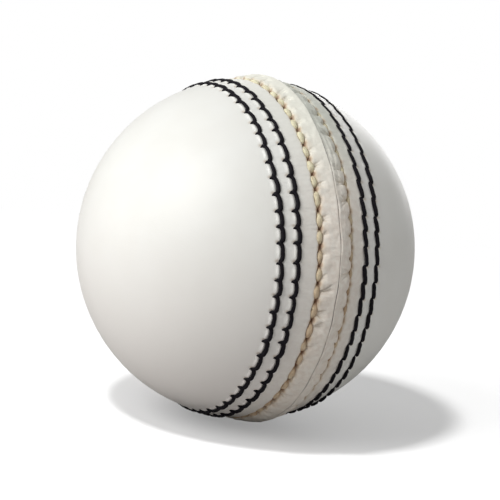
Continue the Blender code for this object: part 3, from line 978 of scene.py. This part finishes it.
def cork_material(name, grain, dark, light):
    """Cork granules: Voronoi cells in mixed browns with darker joints between them."""
    material, nodes, links, shader = new_material(name)
    cells = texture(nodes, links, "ShaderNodeTexVoronoi", grain)
    joints = texture(nodes, links, "ShaderNodeTexVoronoi", grain)
    joints.feature = "DISTANCE_TO_EDGE"
    shade = blend_colours(nodes, links, ramp(nodes, links, cells.outputs["Color"], 0.2, 0.8), dark, light)
    gap = ramp(nodes, links, joints.outputs["Distance"], 0.0, 0.12)
    links.new(blend_colours(nodes, links, gap, CORK_JOINT, shade), shader.inputs["Base Color"])
    links.new(bump(nodes, links, gap, 0.1 * MM), shader.inputs["Normal"])
    shader.inputs["Roughness"].default_value = 0.9
    return material


# ---------------------------------------------------------------- the ball

def dress_core():
    """Procedural finishes for the CAD nodes that stay: everything inside the cover."""
    finishes = {name: cork_material(name, *values) for name, values in CORK.items()}
    finishes.update((name, fibre_material(name, *values)) for name, values in FIBRE.items())
    for entry in frame["record"]["subparts"]:
        finish = finishes.get(entry["material_slot"])
        if finish is None:
            continue
        mesh = frame["nodes"][entry["node"]].data
        mesh.materials.clear()
        mesh.materials.append(finish)


def keep(obj, node_name):
    """Puts a worked piece on the ball's body in place of a CAD node."""
    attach(obj, "root")
    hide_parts(node_name)


def build_cover():
    """The four leather quarters. The two halves are cut a quarter turn apart."""
    leather = leather_material()
    quarters = (
        ("leather_left_front", LEFT, 0.0),
        ("leather_left_back", LEFT, math.pi),
        ("leather_right_top", RIGHT, -math.pi / 2),
        ("leather_right_bottom", RIGHT, math.pi / 2),
    )
    for node_name, side, start in quarters:
        piece = leather_quarter(f"{node_name}_worked", side, start, leather)
        keep(piece, node_name)


def build_stitching():
    """The four black rows and the two needles' closing threads."""
    black = black_thread_material()
    linen = linen_material()
    for side, half in ((LEFT, "left"), (RIGHT, "right")):
        for row, place in zip(BLACK_ROWS[side], ("inner", "outer")):
            node_name = f"row_thread_{half}_{place}"
            keep(black_row(f"{node_name}_sewn", side, row, black), node_name)
    for level, side, depth in CLOSING_THREADS:
        node_name = f"closing_thread_{level}"
        keep(closing_thread(f"{node_name}_sewn", side, depth, linen), node_name)


# ---------------------------------------------------------------- the studio

def view_axes():
    """Right, up and back of the camera in the row frame."""
    a, e, r = VIEW_AZIMUTH, VIEW_ELEVATION, VIEW_ROLL
    right = Vector((math.cos(a), math.sin(a), 0.0))
    up = Vector((-math.sin(a) * math.sin(e), math.cos(a) * math.sin(e), math.cos(e)))
    back = right.cross(up)
    return right * math.cos(r) + up * math.sin(r), up * math.cos(r) - right * math.sin(r), back


def add_camera():
    """The photo's view: a long lens, rolled so that the seam leans as it does there."""
    right, up, back = view_axes()
    data = bpy.data.cameras.new("camera")
    data.lens = LENS_MM
    data.sensor_width = SENSOR_MM
    data.clip_start = CLIP_START
    camera = bpy.data.objects.new("camera", data)
    yaw, pitch = VIEW_PAN
    pan = Matrix.Rotation(yaw, 3, "Y") @ Matrix.Rotation(pitch, 3, "X")
    turn = Matrix((right, up, back)).transposed() @ pan
    camera.matrix_world = Matrix.Translation(back * VIEW_DISTANCE) @ turn.to_4x4()
    bpy.context.scene.collection.objects.link(camera)
    bpy.context.scene.camera = camera


def add_softbox(name, place, size, power):
    """A square softbox a metre from the ball, facing it. place runs right, up and to the camera."""
    right, up, back = view_axes()
    to_right, upward, to_camera = place
    direction = right * to_right + up * upward + back * to_camera
    data = bpy.data.lights.new(name, "AREA")
    data.size = size
    data.energy = power
    light = bpy.data.objects.new(name, data)
    light.location = direction.normalized()
    light.rotation_euler = direction.to_track_quat("Z", "Y").to_euler()
    bpy.context.scene.collection.objects.link(light)
    return light


def floor_material():
    """White floor that fades into a plain white surround and throws only a little light back up."""
    material, nodes, links, shader = new_material("floor")
    seen = node(nodes, "ShaderNodeLightPath").outputs["Is Camera Ray"]
    shade = (FLOOR_SHADE,) * 3
    links.new(blend_colours(nodes, links, seen, FLOOR_BOUNCE, shade), shader.inputs["Base Color"])
    shader.inputs["Roughness"].default_value = 1.0
    shader.inputs["Specular IOR Level"].default_value = 0.0
    lift = blend_colours(nodes, links, seen, (0.0, 0.0, 0.0), (FLOOR_GLOW,) * 3)
    links.new(lift, shader.inputs["Emission Color"])
    shader.inputs["Emission Strength"].default_value = 1.0
    glow = node(nodes, "ShaderNodeEmission")
    place = node(nodes, "ShaderNodeTexCoord").outputs["Object"]
    reach = node(nodes, "ShaderNodeVectorMath", operation="LENGTH")
    links.new(place, reach.inputs[0])
    away = ramp(nodes, links, reach.outputs["Value"], *FLOOR_FADE)
    mix = node(nodes, "ShaderNodeMixShader")
    links.new(times(nodes, links, away, seen), mix.inputs[0])
    links.new(shader.outputs[0], mix.inputs[1])
    links.new(glow.outputs[0], mix.inputs[2])
    links.new(mix.outputs[0], nodes["Material Output"].inputs["Surface"])
    return material


def add_floor():
    """A level floor under the ball's lowest point."""
    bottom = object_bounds()[0][2]
    mesh = bpy.data.meshes.new("floor")
    corners = [(x * FLOOR_REACH, y * FLOOR_REACH, bottom) for x, y in ((-1, -1), (1, -1), (1, 1), (-1, 1))]
    mesh.from_pydata(corners, [], [(0, 1, 2, 3)])
    mesh.materials.append(floor_material())
    floor = bpy.data.objects.new("floor", mesh)
    bpy.context.scene.collection.objects.link(floor)
    floor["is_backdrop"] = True
    return floor


def add_world():
    """Even light from all round, and plain white for the camera."""
    world = bpy.data.worlds.new("studio")
    bpy.context.scene.world = world
    world.use_nodes = True
    nodes = world.node_tree.nodes
    links = world.node_tree.links
    ambient = nodes["Background"]
    ambient.inputs["Color"].default_value = (1, 1, 1, 1)
    ambient.inputs["Strength"].default_value = AMBIENT
    seen = node(nodes, "ShaderNodeBackground")
    seen.inputs["Color"].default_value = (1, 1, 1, 1)
    path = node(nodes, "ShaderNodeLightPath")
    mix = node(nodes, "ShaderNodeMixShader")
    links.new(path.outputs["Is Camera Ray"], mix.inputs[0])
    links.new(ambient.outputs[0], mix.inputs[1])
    links.new(seen.outputs[0], mix.inputs[2])
    links.new(mix.outputs[0], nodes["World Output"].inputs["Surface"])


def add_lights(floor):
    """Softboxes round the camera, and one overhead whose light lands on the floor alone."""
    for name, place, size, power in SOFTBOXES:
        add_softbox(name, place, size, power)
    overhead = add_softbox("overhead", OVERHEAD_DIRECTION, OVERHEAD_SIZE, OVERHEAD_POWER)
    lit = bpy.data.collections.new("lit_by_overhead")
    lit.objects.link(floor)
    overhead.light_linking.receiver_collection = lit


def main():
    bpy.context.scene.view_settings.view_transform = "Standard"
    dress_core()
    build_cover()
    build_stitching()
    floor = add_floor()
    add_world()
    add_lights(floor)
    add_camera()


main()
